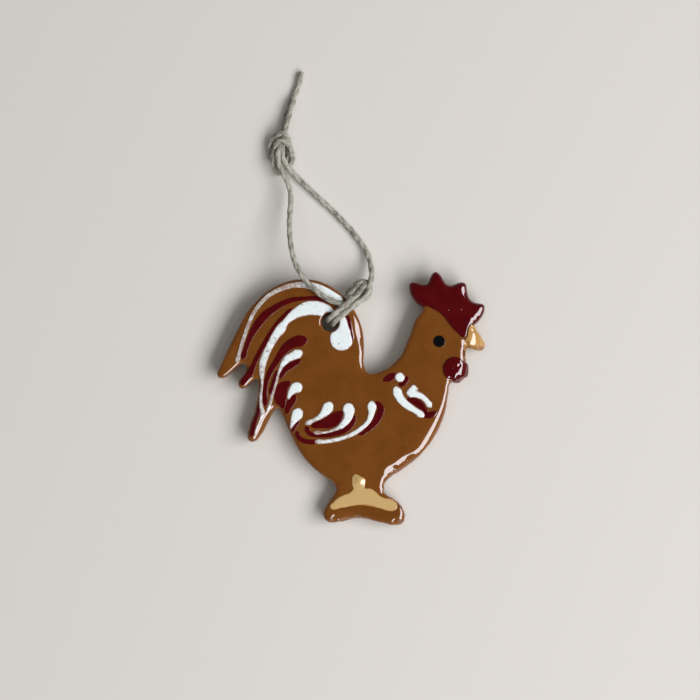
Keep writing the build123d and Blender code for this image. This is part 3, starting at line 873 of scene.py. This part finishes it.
def lay_hair(bm, fibre_layer, course, draw, seed, number):
    """Add one loose fibre, which stands off the twine, leans along it and stays above the table."""
    spot, way, side, _ = course[draw.randrange(hair_margin, len(course) - hair_margin)]
    turn = draw.uniform(0, math.tau)
    out = side * math.cos(turn) + way.cross(side) * math.sin(turn)
    along = way * draw.choice((-1, 1))
    reach = hair_reach * draw.uniform(*hair_lengths)
    root = spot + out * (ply_offset + ply_radius) * hair_root
    bend = out * draw.uniform(*hair_out) + along * draw.uniform(*hair_along)
    drift = Vector((draw.uniform(-1, 1), draw.uniform(-1, 1), draw.uniform(-0.5, 1))) * hair_drift
    tip = root + (bend + drift).normalized() * reach
    middle = (root + tip) / 2 + out * reach * draw.uniform(*hair_bow)
    for point in (middle, tip):
        point.z = max(point.z, hair_floor)
    hair = tube([root, middle, tip], [hair_radius, hair_radius, hair_radius * hair_taper], hair_sides)
    for vert in add_mesh(bm, hair):
        vert[fibre_layer] = Vector((number * hair_tint, seed, hair_tone))


def twine_piece(name, nodes, lines):
    """Make one piece of twine along the lines of its strands, in place of its solids."""
    bm = bmesh.new()
    fibre_layer = bm.verts.layers.float_vector.new("fibre")
    for strand, line in enumerate(lines):
        seed = len(name) + seeds_apart * strand
        draw = random.Random(seed)
        course = even_course(line, lay_length / steps_per_turn)
        start = draw.uniform(0, math.tau)
        for ply in (0, 1):
            lay_ply(bm, fibre_layer, course, start, seed, ply)
        for number in range(int(course[-1][3] * hairs_per_metre)):
            lay_hair(bm, fibre_layer, course, draw, seed, number)
    mesh = bpy.data.meshes.new(name)
    bm.to_mesh(mesh)
    bm.free()
    mesh.shade_smooth()
    mesh.materials.append(flax)
    piece = bpy.data.objects.new(name, mesh)
    scene.collection.objects.link(piece)
    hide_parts(*nodes)
    return piece


# The bight: the folded twine, which goes down through the hole and round behind the rim of the tail.
# Its two strands lie side by side over the face and part a little towards the hitch.
hitch_bearing = math.radians(43)


def by_hitch(points):
    """A line through places beside the hole: along the twine, to its left and above the slab's back."""
    turn = Matrix.Rotation(hitch_bearing, 4, "Z")
    return smooth_route([to_frame @ (turn @ Vector(point)) for point in points])


bight_front = [
    (8.0, -1.25, 6.25), (6.0, -1.15, 6.3), (3.6, -1.0, 6.35), (1.3, -0.85, 6.3), (0.4, -0.78, 5.4),
    (0.3, -0.78, 2.5), (0.4, -0.78, -0.3), (1.4, -0.78, -0.86), (4.5, -0.78, -0.86), (7.0, -0.78, -0.84),
    (8.15, -0.78, 0.2), (8.3, -0.78, 2.4), (8.6, -0.6, 4.2),
]
bight_back = [
    (8.6, 0.45, 6.5), (6.4, 0.35, 6.4), (3.8, 0.5, 6.35), (1.3, 0.62, 6.3), (0.2, 0.68, 5.4),
    (0.1, 0.7, 2.5), (0.2, 0.7, -0.3), (1.2, 0.74, -0.86), (4.5, 0.78, -0.86), (7.0, 0.78, -0.84),
    (8.15, 0.78, 0.2), (8.3, 1.2, 2.4), (8.9, 1.9, 4.2),
]
bight_filling = [
    (7.4, -0.35, 5.75), (5.0, -0.35, 5.8), (3.0, -0.3, 5.8), (1.3, -0.1, 5.6), (0.6, -0.05, 4.6),
    (0.5, -0.05, 2.0),
]
bight_routes = (bight_front, bight_back, bight_filling)
rim_bight = twine_piece("rim_bight_twine", ["rim_bight"], [by_hitch(route) for route in bight_routes])
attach(rim_bight, "hitch")

# The hitch: the two ends go through the fold and draw it tight just outside the rim.
# Its turns lie close together, with twine packed inside them.
hitch_lower = [
    (7.6, -1.2, 6.25), (9.5, -1.4, 6.0), (11.3, -1.6, 5.4), (12.7, -0.9, 4.8), (13.9, 0.1, 4.2),
    (15.0, 1.1, 3.8),
]
hitch_middle = [
    (6.4, 0.4, 6.4), (8.2, 0.2, 6.5), (9.9, 0.2, 6.0), (11.4, 0.5, 5.4), (12.7, 0.9, 4.6), (13.6, 0.8, 3.4),
    (13.2, 0.2, 2.2), (11.6, 0.2, 1.4), (10.0, 0.0, 1.0), (9.2, -1.0, 1.2),
]
hitch_inner = [
    (7.2, 1.2, 5.4), (8.4, 1.5, 5.5), (9.8, 1.6, 5.2), (11.2, 1.8, 4.8), (12.5, 1.9, 4.2), (13.4, 1.3, 3.4),
    (13.0, 0.2, 2.8), (11.6, -0.8, 2.4), (10.0, -1.2, 2.4),
]
hitch_upper = [
    (7.9, 1.8, 3.4), (8.4, 2.3, 3.9), (9.5, 2.6, 3.8), (10.8, 2.7, 3.5), (12.1, 2.6, 3.2), (13.3, 1.9, 2.8),
    (13.9, 0.7, 2.4), (13.2, -0.6, 2.0), (11.8, -1.4, 1.6), (10.4, -1.6, 1.6), (9.3, -1.2, 2.2),
    (8.9, -0.4, 3.4),
]
hitch_filling = [
    (7.6, 0.2, 5.2), (9.0, 0.8, 5.2), (10.4, 1.0, 4.9), (11.8, 1.2, 4.4), (13.0, 1.0, 3.6), (13.6, 0.2, 3.0),
]
hitch_routes = (hitch_lower, hitch_middle, hitch_inner, hitch_upper, hitch_filling)
hitch_knot = twine_piece("hitch_knot_twine", ["hitch_knot"], [by_hitch(route) for route in hitch_routes])
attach(hitch_knot, "hitch")

# The top knot: a plain overhand knot that closes the loop, with its collar drawn out to the right.
# The two strands go through it and come out of its top as the cut ends.


def on_table(points):
    """A line through points that are given in millimetres in the ornament's frame."""
    return smooth_route([Vector(point) * mm for point in points])


knot_arch = [
    (-19.7, 62.1, 2.6), (-19.3, 64.1, 3.3), (-18.0, 65.5, 3.9), (-16.4, 65.1, 3.5), (-15.3, 63.7, 2.7),
    (-14.8, 61.7, 1.9), (-15.1, 59.9, 1.2), (-16.1, 59.1, 0.8),
]
knot_collar = [
    (-20.4, 61.1, 0.8), (-20.9, 63.1, 1.2), (-20.4, 65.3, 2.0), (-19.1, 66.8, 2.9), (-17.8, 67.3, 3.9),
    (-16.6, 66.9, 4.0), (-15.8, 65.5, 2.6), (-15.4, 64.3, 1.4),
]
knot_loop = [
    (-19.2, 63.7, 3.0), (-19.6, 61.9, 3.2), (-19.8, 60.1, 3.0), (-19.4, 58.4, 2.4), (-18.7, 57.4, 1.7),
    (-17.8, 57.7, 1.1), (-17.4, 58.9, 0.8),
]
knot_core = [
    (-19.7, 64.3, 1.2), (-19.2, 62.7, 1.6), (-18.4, 60.9, 1.8), (-17.4, 59.5, 1.6), (-16.2, 59.1, 1.0),
]
knot_under = [
    (-16.2, 65.7, 0.75), (-15.8, 63.3, 0.72), (-16.1, 60.9, 0.72), (-17.0, 59.1, 0.75),
]
knot_routes = (knot_arch, knot_collar, knot_loop, knot_core, knot_under)
top_knot = twine_piece("top_knot_twine", ["top_knot"], [on_table(route) for route in knot_routes])
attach(top_knot, "loop")

# The left strand: from the hitch over the face of the tail, down to the top knot, through it, and out as the
# long cut end.


left_route = [
    (-1.4, 23.3, 7.4), (-3.2, 23.7, 7.9), (-5.4, 24.6, 8.1), (-7.7, 26.1, 8.1), (-10.6, 28.8, 8.15),
    (-13.4, 32.7, 8.1), (-14.95, 38.2, 7.0), (-15.4, 44.6, 5.4), (-14.9, 51.2, 4.2), (-15.9, 54.8, 4.0),
    (-17.9, 58.4, 4.0), (-18.4, 60.7, 4.3), (-18.3, 62.8, 4.0), (-18.0, 65.4, 2.5), (-17.7, 67.3, 1.3),
    (-17.2, 69.5, 1.0), (-16.4, 72.6, 0.85), (-15.1, 76.4, 0.85), (-13.3, 80.0, 0.9), (-12.8, 83.4, 1.0),
]
left_line = on_table(left_route)
left_strand = twine_piece("left_strand_twine", ["left_strand", "tag_end"], [left_line])
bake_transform(left_strand)

# The right strand: from the far end of the hitch, down to the table, through the top knot and out as the
# short cut end, which lies on the long one.
right_route = [
    (4.4, 28.0, 4.4), (5.2, 29.4, 4.3), (5.3, 32.0, 3.1), (4.3, 36.7, 1.4), (1.1, 41.5, 0.75),
    (-4.1, 47.2, 0.75), (-9.5, 52.1, 0.8), (-13.8, 56.3, 1.1), (-16.1, 58.8, 2.0), (-17.3, 60.8, 2.8),
    (-17.5, 62.7, 2.6), (-17.2, 64.9, 3.0), (-16.7, 67.0, 3.1), (-16.45, 69.0, 2.8), (-15.7, 72.7, 2.3),
    (-14.55, 75.9, 2.3),
]
right_line = on_table(right_route)
right_strand = twine_piece("right_strand_twine", ["right_strand", "short_end"], [right_line])
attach(right_strand, "loop")
